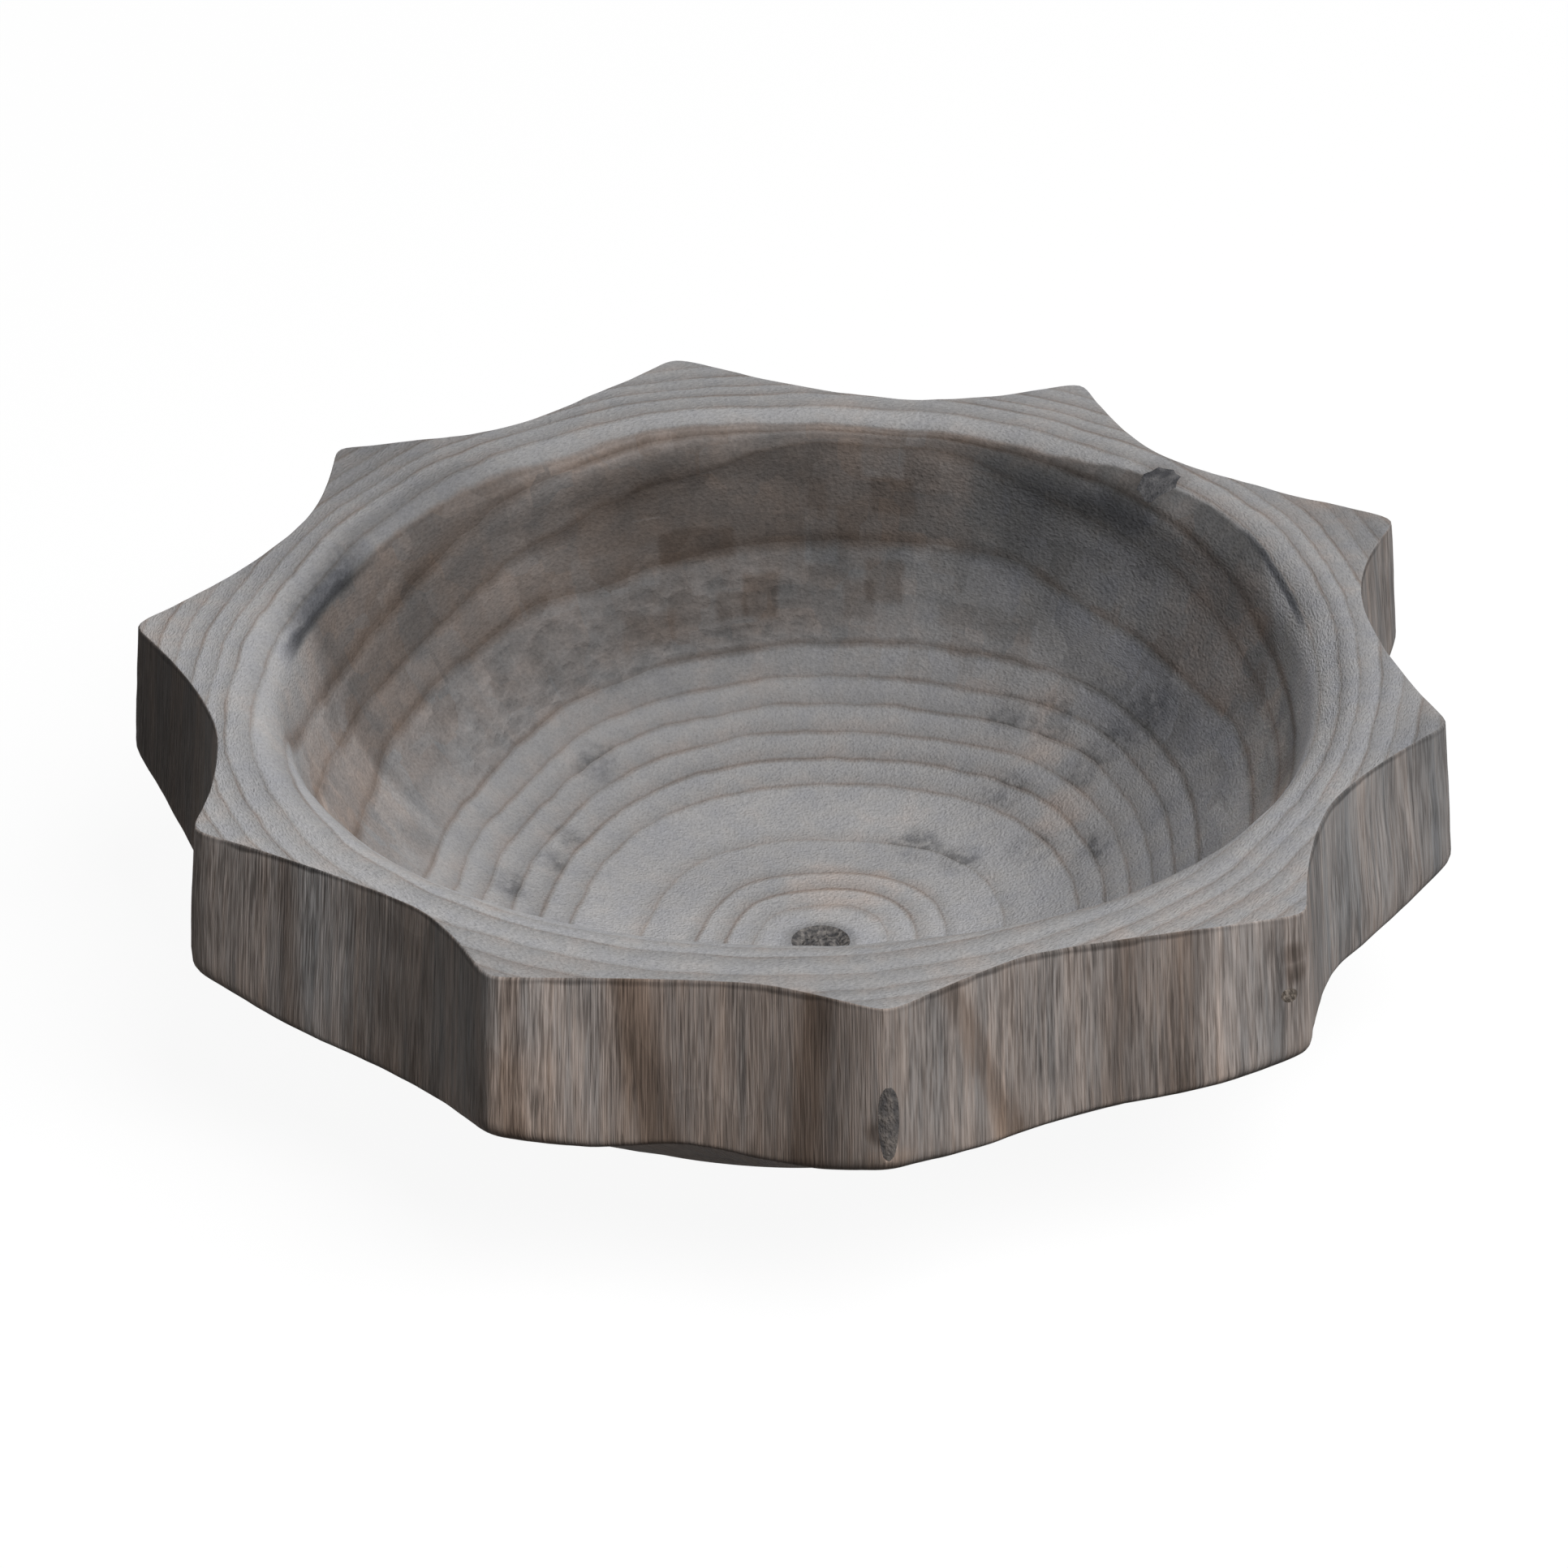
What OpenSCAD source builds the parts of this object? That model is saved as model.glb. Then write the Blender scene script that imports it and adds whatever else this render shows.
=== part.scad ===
// Dough bowl carved from one slice of a log, with ten points round its outside.
// The slice is turned to a blank, hollowed, and then fluted between the points.
// Origin: middle of the foot, on the table. +Z is up and -Y is the front.

/* [Blank] */
// Height of the rim above the table
rim_h = 108; // [100:1:125]
// Radius of the flat foot that the bowl stands on
foot_r = 112; // [90:1:125]
// Slope of the underside from the foot outwards, in degrees
under_slope = 35; // [30:1:38]
// Width of the flatter outer part of the underside, inwards from the points
eave_w = 18; // [5:1:30]
// Slope of that outer part, in degrees
eave_slope = 25; // [15:1:30]

/* [Points and flutes] */
// Mean radius out to the points at the rim
point_r = 200; // [190:1:225]
// Mean depth of a flute below the straight line between its two points
flute_depth = 12.5; // [10:0.5:16]
// How much of each sharp point is worn off
point_wear = 2; // [0.5:0.5:3]
// Lean of the side, outwards towards its lower edge, in degrees
side_lean = 4.5; // [0:0.5:8]

/* [Hollow] */
// Width of the rim's flat top face, from the turn of the lip out to the mean point
rim_w = 30; // [26:1:40]
// Thickness of the floor
floor_t = 11; // [6:0.5:25]
// Radius of the level part of the floor
floor_r = 45; // [35:1:60]
// Rounding of the lip, where the rim turns down into the hollow
lip_round = 18; // [10:0.5:22]

/* [Pith plug] */
// Radius of the plug that closes the hollow pith
plug_r = 9; // [5:0.5:14]
// Place of the pith to the right of the middle
pith_x = 6.5; // [-15:0.5:15]
// Place of the pith behind the middle
pith_y = -3; // [-15:0.5:15]

/* [Rim patch] */
// Direction of the patch from the middle, in degrees
patch_angle = 45; // [40:1:50]
// Length of the patch along the lip
patch_length = 13; // [6:0.5:18]
// Reach of the patch across the lip, inwards from the flat of the rim
patch_reach = 13; // [6:0.5:14]
// Depth of the patch below the rim
patch_depth = 10; // [8:0.5:13]

/* [Knots] */
// Radius of the dead knot in the front point
knot_r = 3.5; // [2:0.25:5]
// Middle of that knot below the rim
knot_drop = 35; // [28:1:38]
// Lean of that knot away from upright, in degrees
knot_lean = 20; // [15:1:30]
// Depth of that knot up into the wood, from its middle
knot_depth = 24; // [15:1:30]
// Radius of the pin knot beside the right front point
pin_r = 2.25; // [1:0.25:3]
// Middle of the pin knot below the rim
pin_drop = 25; // [18:1:30]
// Depth of the pin knot inwards from the side
pin_depth = 18; // [8:1:25]

/* [Fit] */
// Gap all round each piece that is let into the bowl
fit_gap = 0.05; // [0.02:0.01:0.2]

/* [Hidden] */
$fn = 96;

// Direction of the first point, on the right, in degrees
first_point = -9;
// Unevenness of the ten points, going round from the right over the back
point_turn = [-3, -2, 0, 2, 1, 2, 2, 1, -2, -1];
point_reach = [-5.5, 4.5, 3.5, 4, 1.5, 1, -2, -3.5, -3, 3.5];
// Unevenness of the flute that follows each point
flute_extra = [2, 4, 5, 0.5, 0, 0, -2.5, -7, -5, 0];
point_count = len(point_turn);
// The points that hold the two knots, by their place in the lists
knot_point = 8;
pin_point = 9;
// Turn of the pin knot away from the ridge of its point, in degrees
pin_turn = -1.5;

// Room by which a cut runs past the face that it opens
over = 5;
// Length of the cuts down the side, which run well past the rim and the foot
cut_h = 3 * rim_h;
// Radius of the log slice, past the furthest reach of a leaning point
slice_r = point_r + max(point_reach) + rim_h * tan(side_lean) + over;
// Radius at which the rim's top face turns into the lip
opening_r = point_r - rim_w;
// The wall is one arc, level at the floor, that runs smoothly into the round of the lip
wall_steep = 2 * atan((rim_h - floor_t) / (opening_r - floor_r));
wall_round = (opening_r - floor_r) / sin(wall_steep) - lip_round;
wall_top = rim_h - lip_round * (1 - cos(wall_steep));
// Place where the underside turns flatter
eave_r = point_r - eave_w;
eave_z = (eave_r - foot_r) * tan(under_slope);

function at(angle, r) = [r * cos(angle), r * sin(angle)];
function point_angle(i) = first_point + i * 360 / point_count + point_turn[i % point_count];
function reach(i) = point_r + point_reach[i % point_count];
// A flute runs through the sharp points, before wear
function sharp_point(i) = at(point_angle(i), reach(i) + point_wear);
function next_angle(i) = i + 1 < point_count ? point_angle(i + 1) : point_angle(0) + 360;
function next_sharp(i) = at(next_angle(i), reach(i + 1) + point_wear);
function flute_r(half, depth) = (half * half + depth * depth) / (2 * depth);

// Half section of the turned slice: foot, underside in two slopes, and rim
module blank_section() {
  polygon([
    [0, 0],
    [foot_r, 0],
    [eave_r, eave_z],
    [slice_r, eave_z + (slice_r - eave_r) * tan(eave_slope)],
    [slice_r, rim_h],
    [0, rim_h]
  ]);
}

// Half section of the hollow, up past the rim
module hollow_section() {
  translate([0, floor_t])
    square([floor_r, rim_h - floor_t + over]);
  intersection() {
    translate([floor_r, floor_t + wall_round])
      circle(r = wall_round);
    translate([0, floor_t])
      square([opening_r, wall_top - floor_t]);
  }
  difference() {
    translate([0, wall_top])
      square([opening_r, rim_h - wall_top + over]);
    translate([opening_r, rim_h - lip_round])
      circle(r = lip_round);
  }
}

// Cut of the flute that follows point i, leaning with the side
module flute(i) {
  from = sharp_point(i);
  to = next_sharp(i);
  half = norm(to - from) / 2;
  depth = flute_depth + flute_extra[i] + point_wear;
  radius = flute_r(half, depth);
  chord = (to - from) / (2 * half);
  outward = [chord[1], -chord[0]];
  middle = (from + to) / 2 + outward * (radius - depth);
  translate([middle[0], middle[1], rim_h])
    rotate([0, 0, atan2(outward[1], outward[0])])
      rotate([0, -side_lean, 0])
        cylinder(r = radius, h = cut_h, center = true);
}

// Cut that blunts point i
module point_flat(i) {
  width = 40;
  rotate([0, 0, point_angle(i)])
    translate([reach(i), 0, rim_h])
      rotate([0, -side_lean, 0])
        translate([width / 2, 0, 0])
          cube([width, width, cut_h], center = true);
}

// Log slice with its flutes cut and its points blunted
module fluted_slice() {
  difference() {
    cylinder(r = slice_r, h = rim_h);
    for (i = [0 : point_count - 1]) {
      flute(i);
      point_flat(i);
    }
  }
}

// The carved bowl, before anything is let into it
module carved_body() {
  difference() {
    intersection() {
      fluted_slice();
      rotate_extrude()
        blank_section();
    }
    rotate_extrude()
      hollow_section();
  }
}

// Plug of the pith, or with a gap of 0 its hole
module plug_form(gap, extra) {
  translate([pith_x, pith_y, -extra])
    cylinder(r = plug_r - gap, h = floor_t + 2 * extra);
}

// Block of the rim patch, or with a gap of 0 its pocket
module patch_form(gap) {
  rotate([0, 0, patch_angle])
    translate([opening_r - patch_reach + gap, gap - patch_length / 2, rim_h - patch_depth + gap])
      cube([patch_reach - 2 * gap, patch_length - 2 * gap, patch_depth + over]);
}

// Stem of the dead knot, or with a gap of 0 its pocket
module knot_form(gap) {
  outer_length = 2 * knot_r / sin(knot_lean) + over;
  side_r = reach(knot_point) + knot_drop * tan(side_lean);
  rotate([0, 0, point_angle(knot_point)])
    translate([side_r, 0, rim_h - knot_drop])
      rotate([0, -knot_lean, 0])
        translate([0, 0, -outer_length])
          cylinder(r = knot_r - gap, h = outer_length + knot_depth - gap);
}

// Stem of the pin knot, or with a gap of 0 its pocket
module pin_form(gap) {
  rotate([0, 0, point_angle(pin_point) + pin_turn])
    translate([reach(pin_point) - pin_depth + gap, 0, rim_h - pin_drop])
      rotate([0, 90, 0])
        cylinder(r = pin_r - gap, h = pin_depth + 3 * over);
}

module bowl() {
  color("#8c857f")
    difference() {
      carved_body();
      plug_form(0, over);
      patch_form(0);
      knot_form(0);
      pin_form(0);
    }
}

module pith_plug() {
  color("#4b4a4d")
    plug_form(fit_gap, 0);
}

module rim_patch() {
  color("#47474a")
    intersection() {
      carved_body();
      patch_form(fit_gap);
    }
}

module point_knot() {
  color("#43454b")
    intersection() {
      carved_body();
      knot_form(fit_gap);
    }
}

module pin_knot() {
  color("#6b5648")
    intersection() {
      carved_body();
      pin_form(fit_gap);
    }
}

bowl();
pith_plug();
rim_patch();
point_knot();
pin_knot();
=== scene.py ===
import math
from functools import reduce

import bpy
import numpy as np
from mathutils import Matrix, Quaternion, Vector


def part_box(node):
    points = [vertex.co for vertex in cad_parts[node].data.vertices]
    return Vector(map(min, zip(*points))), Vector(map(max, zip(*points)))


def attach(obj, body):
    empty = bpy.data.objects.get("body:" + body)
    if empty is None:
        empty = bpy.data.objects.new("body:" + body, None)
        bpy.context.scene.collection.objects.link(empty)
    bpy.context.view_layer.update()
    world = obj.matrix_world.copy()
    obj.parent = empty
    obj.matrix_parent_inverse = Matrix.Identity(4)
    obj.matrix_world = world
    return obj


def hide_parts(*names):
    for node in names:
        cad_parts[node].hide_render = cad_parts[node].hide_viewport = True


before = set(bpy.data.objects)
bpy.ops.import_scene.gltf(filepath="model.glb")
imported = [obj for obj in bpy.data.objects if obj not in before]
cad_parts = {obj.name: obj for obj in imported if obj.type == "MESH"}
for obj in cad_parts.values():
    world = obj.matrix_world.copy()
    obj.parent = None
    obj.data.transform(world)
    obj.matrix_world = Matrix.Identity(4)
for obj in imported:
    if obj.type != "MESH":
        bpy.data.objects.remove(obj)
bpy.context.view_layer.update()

# Sizes are in millimetres and angles in degrees, on the solids' frame: +Z up, -Y to the front
MM = 0.001
RIM_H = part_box("bowl")[1].z / MM
FLOOR_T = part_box("pith_plug")[1].z / MM
FLOOR_R = 45
LIP_ROUND = 18
FOOT_R = 112
UNDER_SLOPE = 35
EAVE_R = 182
EAVE_SLOPE = 25
SIDE_LEAN = 4.5
# Radius in some directions at which the rim turns into the lip: the hollow isn't quite round
OPENING = [
    (0, 170.5), (60, 170), (120, 170), (180, 170.5), (228, 171), (256, 167.4), (272, 167.2), (290, 169.3),
    (322, 172), (345, 170.8),
]
OPENING_SPREAD = 7

# Direction and reach of the ten points, from the right over the back
POINTS = [
    (-12, 194.5), (25, 204.5), (63, 203.5), (101, 204), (136, 201.5),
    (173, 201), (209, 198), (244, 196.5), (277, 197), (314, 203.5),
]
# The flute after each point: depth, deepest place along it, fullness, lift of its lower edge and its place
FLUTES = [
    (17, 0.60, 1.8, 2, 0.5), (20, 0.62, 1.6, 2, 0.5), (20, 0.40, 1.8, 2, 0.5), (15.5, 0.60, 1.8, 2, 0.5),
    (15.5, 0.42, 1.7, 2, 0.5), (15.5, 0.54, 1.7, 7, 0.75), (13.5, 0.66, 1.5, 1.5, 0.5),
    (8.5, 0.65, 1.4, 5, 0.48), (11.5, 0.36, 1.2, 4, 0.5), (15.5, 0.50, 1.6, 4, 0.45),
]
LIFT_SPREAD = 0.2
POINT_WEAR = 2
WEAR_SPREAD = 4
TOP_EDGE = 0.9
FOOT_EDGE = 2.0
LOW_EDGE_FLUTE = 2.0
LOW_EDGE_POINT = 5.0
POINT_WIDTH = 7
# The underside rises a little more on the left and right than at the front
LIFT_MEAN = 1.0
LIFT_SWING = 2.0
# Uneven tool work, as sizes with their depths, over everything above the foot
CARVING = [(42, 1.5), (10, 0.4)]
CARVED_ABOVE = 3
CARVED_GROUP = "carved"

# Steps round the bowl, and along each run of its half section
TURN_STEPS = 720
FLOOR_STEPS = 9
WALL_STEPS = 46
LIP_STEPS = 16
RIM_STEPS = 10
EDGE_STEPS = 5
SIDE_STEPS = 14
UNDER_STEPS = 10
FOOT_STEPS = 5
OUTLINE_STEPS = 200
# Rounds in which the height of the leaning side's lower edge settles
SETTLE_ROUNDS = 12
STEM_SIDES = 48
SMOOTH_ANGLE = 40
# Points of the mesh that are closer than this are one
MERGE_GAP = 0.002

# Pieces that are let into the bowl
FIT_GAP = 0.05
PLUG_R = 9
PITH_X = 6.5
PITH_Y = -3
PLUG_RINGS = 8
PLUG_SINK = 1.3
PLUG_SINK_R = 6.5
PLUG_SINK_WIDTH = 1.6
PLUG_CRUMPLE = 0.7
PLUG_EDGE = 0.5
PATCH_ANGLE = 45.5
PATCH_R = 163
PATCH_HALF_WIDTH = 6.8
PATCH_HALF_LENGTH = 6.5
PATCH_DEPTH = 10
PATCH_OVER = 5
PATCH_RAGS = [1, 0.9, 1.05, 0.86, 1, 0.93, 1.08, 0.9, 1, 1.04, 0.88, 0.97, 1.06, 0.9, 1.03, 0.85]
KNOT_POINT = 8
KNOT_R = 3.7
KNOT_TIP_R = 2.4
KNOT_DROP = 35
KNOT_LEAN = 20
KNOT_DEPTH = 24
KNOT_OUTER = 26
PIN_POINT = 9
PIN_TURN = -1.5
PIN_R = 2.25
PIN_DROP = 25
PIN_DEPTH = 18
PIN_OUTER = 12

# Year rings about the pith, which leans through the log
RINGS = [
    21.4, 30.8, 40.7, 59.6, 83, 92.4, 101.2, 109.3, 116.8, 124.8, 142.6, 151.7,
    157, 166.5, 174.5, 180.4, 187, 194, 201, 208, 216,
]
# Width of a usual ring, and what is added to it where the rings are wide: from and to which line of the
# list that is, and the share of it
RING_GAP = 8.4
WIDE_GAP = 12
WIDE_RINGS = [(2, 4, 1), (9, 10, 0.6)]
RING_STEP = 0.1
PITH_RIM_X = -3.14
PITH_RIM_Y = -5.5
PITH_LEAN_X = 0.1024
PITH_LEAN_Y = 0.0103
OVAL_ALONG = 0.045
OVAL_ACROSS = 0.042
LOBES = 4
LOBE_TURN = 33
LOBE_SIZE = 1.7
RING_WAVE = 1.0
RING_RIPPLE = 0.3
# Where rings run further in or out: direction, half width and soft edge, the reach at which that starts,
# is full, starts to end and ends, and the shift
RING_SHIFTS = [
    (80, 12, 8, 146, 151, 154.5, 158, -2.4), (38, 14, 10, 131, 137, 141, 150, 3.6),
    (145, 22, 8, 133, 141, 146, 152, -2.8),
]
# The ring along the lip where the wall turns dark, and its shifts: direction, half width, soft edge, shift
LIP_RING = 159.3
LIP_SHIFTS = [(158, 26, 16, 3.2), (14, 34, 14, 6.2)]

# Radius on which the grain of the side and the blocks of the wall are laid out
SIDE_R = 190
WALL_R = 150
# Noise of the wood: sizes of its grains, detail and seed
GRAINS = {
    "patches": ((24, 24, 20), 3, 3), "clouds": ((8, 8, 8), 3, 4), "smears": ((4, 4, 3), 3, 14),
    "waves": ((34, 34, 60), 2, 1), "ripples": ((11, 11, 30), 2, 2), "block edges": ((9, 9, 9), 2, 15),
    "spot edges": ((7, 7, 7), 2, 5), "line breaks": ((28, 28, 28), 2, 6),
    "fibres": ((0.65, 0.65, 13), 3, 7), "strands": ((1.9, 1.9, 40), 2, 8), "bands": ((9, 9, 120), 1, 9),
    "density": ((14, 14, 40), 2, 10), "pores": ((0.5, 0.5, 16), 1, 13), "nap": ((0.8, 0.8, 0.8), 2, 11),
    "combed nap": ((0.55, 1.6, 0.8), 2, 11), "fuzz": ((1.5, 1.5, 1.2), 2, 12),
    "chatter": ((2.2, 12, 900), 1, 16), "filling nap": ((0.7, 0.7, 1.4), 2, 22),
}
# Keeps a radius from being nought
TINY = 0.01

# Parts of the bowl: direction, half width and soft edge
PARTS = {
    "left": (202, 45, 30), "right": (350, 24, 16), "front": (275, 45, 25), "back": (92, 50, 12),
    "left lip": (146, 18, 8), "right lip": (348, 30, 10), "back lip": (99, 22, 10),
    "front left": (205, 37, 6), "low front left": (205, 38, 1.5), "open front": (285, 50, 8),
    "low left wall": (158, 9, 6), "low right wall": (354, 12, 8), "low back wall": (72, 18, 10),
    "crease_shade": (121, 20, 10), "pale ring": (88, 18, 10), "glow": (345, 21, 8), "lip line": (105, 48, 12),
    "brown wall": (99, 18, 10), "low brown wall": (98, 17, 9), "cool wall": (22, 26, 12),
    "cool low wall": (60, 45, 20), "far floor": (85, 75, 25), "dim rim": (147, 18, 8),
    "deepest top edge shade": (214, 6, 3), "brown side": (264, 11, 5), "grey side": (221, 3, 2),
    "warm lower side": (246.5, 2.5, 1.5), "blue line": (161.5, 10, 4), "blue bloom": (159, 8, 5),
    "blue right line": (21, 8, 4), "fuzz": (58, 15, 6), "right fuzz": (36, 15, 6), "haze": (54, 11, 7),
    "chatter": (120, 32, 10),
}
# How far a face turns outwards to be a side, and down to be the underside
SIDE_FACING = (0.25, 0.6)
UNDER_FACING = (-0.2, -0.65)
# Heights over which the floor turns into the wall, the lip into the rim, and the wall ends at the latest
WALL_START = (27, 52)
RIM_START = (96, 104)
WALL_END = (107.9, 107.4)
# Reach below which the wall is a low one, height of the floor's marks, and where the back wall starts
LOW_WALL = (143.5, 141)
FLOOR_END = (30, 20)
BACK_WALL = (85, 105)
# Paler parts of the wall: direction, half width, soft edge and gain
WALL_PATCHES = [(350, 24, 16, 0.17), (35, 14, 8, 0.04), (175, 22, 14, 0.02), (338, 10, 6, 0.1)]
# Darker parts of the rim's outer edge: direction, half width, soft edge and loss
RIM_EDGE_SHADES = [(33, 16, 10, 0.24), (136, 10, 8, 0.16), (252, 20, 6, 0.2), (342, 7, 4, 0.25)]
# Darker and paler blocks of the back wall: middle (x, z), half size (x, z) and gain
BLOCKS = [
    (-11.5, 57, 5.5, 6, -0.32), (-21, 54.5, 5, 3.5, -0.25), (28, 61, 6, 5.5, -0.25), (7, 84, 3, 6, -0.12),
    (31, 86, 7, 5.5, -0.2), (-32, 72, 12, 4.5, -0.25), (-58, 68, 14, 6, 0.15), (60, 55, 15, 3.5, -0.12),
    (20, 56, 5, 5, -0.18), (-47, 51, 8, 4, -0.18), (8, 73, 5, 8, 0.22), (28, 96, 7, 5, 0.25),
]
BLOCK_SOFT = 1.2
BLOCK_SHIFT = 0.8
# Random blocks of the whole wall
BLOCK_WIDTH = 13
BLOCK_HEIGHT = 10
BLOCK_RANDOM = 0.8
# Streaks down the front: start (x) on the rim, slant, half width and strength
STREAKS = [
    (41, 0.36, 3.5, 0.34), (-47, 0.16, 5, 0.42), (5, -0.09, 4, 0.42), (91, -0.08, 4.5, 0.28),
    (108, 0, 4.5, 0.3), (-146, 0, 3, 0.26), (-80, 0, 2.5, 0.3),
]
# Parts of the side that are darker or paler, partly the wood's own tone and partly painted light and shade
# where a flank faces towards or away from the lamps: direction, half width and gain
SIDE_TONE_LIGHT_AND_SHADE = [
    (177, 8, -0.5), (196, 8, -0.12), (213, 6, 0.22), (218.5, 1, -0.25), (221.5, 2.5, 0.35), (231, 3, -0.15),
    (237, 5, 0.2), (239, 2.5, 0.2), (246, 1.5, 0.2), (250, 3, 0.22), (257, 3, -0.17), (267, 5, -0.17),
    (272.3, 1, -0.25), (280, 2.5, -0.1), (290.4, 1.5, -0.15), (301, 2.5, -0.25), (310, 3, 0.2),
    (312.5, 1.5, -0.2), (322, 5, -0.2), (327, 1.5, 0.2), (332, 1.5, -0.15), (343, 6, -0.1), (350, 8, -0.12),
    (17, 8, -0.15),
]
# Marks in the wood: place and size, of which a share is ragged
SPOT_RAGS = 0.25
SMUDGES = [
    (79, 85, 37, 8), (66, 92, 36, 7), (96, 67, 39, 7), (103, 69, 46, 9), (111, 70, 54, 9), (65, 68, 23, 7),
    (90, 64, 33, 7), (92, 31, 24, 6.5), (37, 51, 13, 7.5), (50, 41, 13, 6.5), (72, 41, 18, 7),
    (-88, 15, 21, 6.5), (-77, 34, 18, 5), (-72, 47, 19, 4.5), (-64, 80, 28, 7),
]
STAINS = [(99, 117, 97, 6), (105, 111, 97, 6), (116, 118, 107, 8), (92, 122, 95, 4), (-117, 15, 39, 7)]
KNOT_SHADES = [(139, -149.5, 96, 3.6), (140, -150, 90, 3.4), (21, -199.5, 69, 3.5)]
KNOT_EYES = [(25, -200, 65, 2.2)]
PINK_SPOTS = [
    (79, 91, 42, 8), (78, 78, 34, 8), (83, 52, 25, 9), (23, -200, 59, 5), (28, -199, 59, 4),
    (12, 30, 12, 14),
]

# Lightness of the cut ends and of the side, and the painted shade that darkens faces turned down
RIM_TONE = 0.322
FLOOR_TONE = 0.355
WALL_TONE = 0.14
SIDE_TONE = 0.392
UNDER_SHADE = 0.62
# Wood goes from a cool grey over a plain one to a warm brown of the same lightness, by its warmth
COOLEST, PLAINEST, WARMEST = -0.5, 0.2, 1.75
COOL = (0.965, 0.985, 1.075, 1)
PLAIN = (1.005, 0.985, 0.985, 1)
WARM = (1.3, 0.96, 0.76, 1)
WOOD_GLOSS = 0.1
END_ROUGH = 0.86
SIDE_ROUGH = 0.8
FILLING_ROUGH = 0.88
NAP_ROUGH = 0.03
# Fillings and knots: dark and pale colour, and the size of their flakes
FILLINGS = {
    "pith_filling": ((0.07, 0.068, 0.07, 1), (0.26, 0.242, 0.228, 1), 1.6),
    "dark_filling": ((0.06, 0.06, 0.065, 1), (0.15, 0.147, 0.15, 1), 4),
    "dead_knot": ((0.112, 0.105, 0.104, 1), (0.215, 0.19, 0.172, 1), 2.5),
    "pin_knot": ((0.13, 0.108, 0.09, 1), (0.32, 0.275, 0.235, 1), 1.2),
}

# Camera at the photograph's viewing angle, turned a little about its own axis
EYE = Vector((0, -1743.8, 1086.9)) * MM
LOOK_AT = Vector((-4.34, 0, 64.97)) * MM
CAMERA_ROLL = -0.488
LENS = 153.25
SENSOR = 36
# Two soft lamps, with directions from the middle and sizes in metres, and a white floor and sky
LAMP_AWAY = 2.2
LAMP_SIZE = 1.6
KEY_FROM = (0.38, -0.42, 0.82)
KEY_POWER = 50
FILL_FROM = (-0.1, 0.95, 0.3)
FILL_POWER = 14
FLOOR_SIZE = 8
FLOOR_GREY = 0.09
FLOOR_WHITE = 0.93
SKY = 0.07


def deselect_all():
    for shown in bpy.context.selected_objects:
        shown.select_set(False)


def make_active(piece):
    deselect_all()
    piece.select_set(True)
    bpy.context.view_layer.objects.active = piece


def edit(piece):
    make_active(piece)
    bpy.ops.object.mode_set(mode="EDIT")


def leave_edit():
    bpy.ops.object.mode_set(mode="OBJECT")


def new_piece(name):
    """Names the primitive that was just added, and puts its place in its mesh."""
    piece = bpy.context.active_object
    piece.name = name
    piece.data.name = name
    bpy.ops.object.transform_apply(location=True, rotation=True, scale=True)
    return piece


def apply_modifier(piece, kind, **settings):
    make_active(piece)
    added = piece.modifiers.new(kind.lower(), kind)
    for name, value in settings.items():
        setattr(added, name, value)
    bpy.ops.object.modifier_apply(modifier=added.name)


def places(piece):
    """The mesh's points as an array in millimetres."""
    flat = np.zeros(len(piece.data.vertices) * 3)
    piece.data.vertices.foreach_get("co", flat)
    return flat.reshape(-1, 3) / MM


def set_places(piece, points):
    piece.data.vertices.foreach_set("co", (points * MM).ravel())
    piece.data.update()


def on_ring(angle, reach):
    turn = math.radians(angle)
    return np.array([reach * math.cos(turn), reach * math.sin(turn)])


def star_outline(angles):
    """Radius of the rim's outer edge in each direction, and the lift of the lower edge under it."""
    sharp = [on_ring(angle, reach + POINT_WEAR) for angle, reach in POINTS]
    share = np.linspace(0, 1, OUTLINE_STEPS, endpoint=False)[:, None]
    trail = []
    lifts = []
    for i, (depth, deepest, fullness, lift, lift_at) in enumerate(FLUTES):
        start = sharp[i]
        chord = sharp[(i + 1) % len(sharp)] - start
        inward = np.array([-chord[1], chord[0]]) / np.linalg.norm(chord)
        before = (deepest - share) / deepest
        after = (share - deepest) / (1 - deepest)
        away = np.where(share < deepest, before, after)
        trail.append(start + share * chord + inward * depth * (1 - away**fullness))
        lifts.append(lift * np.exp(-(((share - lift_at) / LIFT_SPREAD) ** 2)))
    path = np.concatenate(trail) @ np.array([1, 1j])
    length = np.abs(np.diff(path, append=path[:1])).sum()
    waves = np.fft.fftfreq(len(path), 1 / len(path))
    worn = np.fft.ifft(np.fft.fft(path) * np.exp(-0.5 * (2 * np.pi * waves * WEAR_SPREAD / length) ** 2))
    turn = np.degrees(np.angle(worn))
    lift = np.concatenate(lifts)[:, 0]
    return np.interp(angles, turn, np.abs(worn), period=360), np.interp(angles, turn, lift, period=360)


def opening_outline(angles):
    """Radius of the opening in each direction, evened out between the given ones."""
    turns, radii = zip(*OPENING)
    plain = np.interp(angles, turns, radii, period=360)
    waves = np.fft.fftfreq(len(angles), 1 / len(angles))
    return np.fft.ifft(np.fft.fft(plain) * np.exp(-0.5 * (waves * math.radians(OPENING_SPREAD)) ** 2)).real


def point_nearness(angles):
    """1 on a point and 0 in a flute."""
    gaps = [np.abs((angles - angle + 180) % 360 - 180) for angle, _ in POINTS]
    return np.exp(-((np.min(gaps, axis=0) / POINT_WIDTH) ** 2))


def underside(r, lift):
    """Height of the underside at radius r: a slope up from the foot, flatter past the eave."""
    steep = (np.minimum(r, EAVE_R) - FOOT_R) * math.tan(math.radians(UNDER_SLOPE))
    flat = (np.maximum(r, EAVE_R) - EAVE_R) * math.tan(math.radians(EAVE_SLOPE))
    return steep + flat + lift * (r - FOOT_R) / (EAVE_R - FOOT_R)


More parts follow.
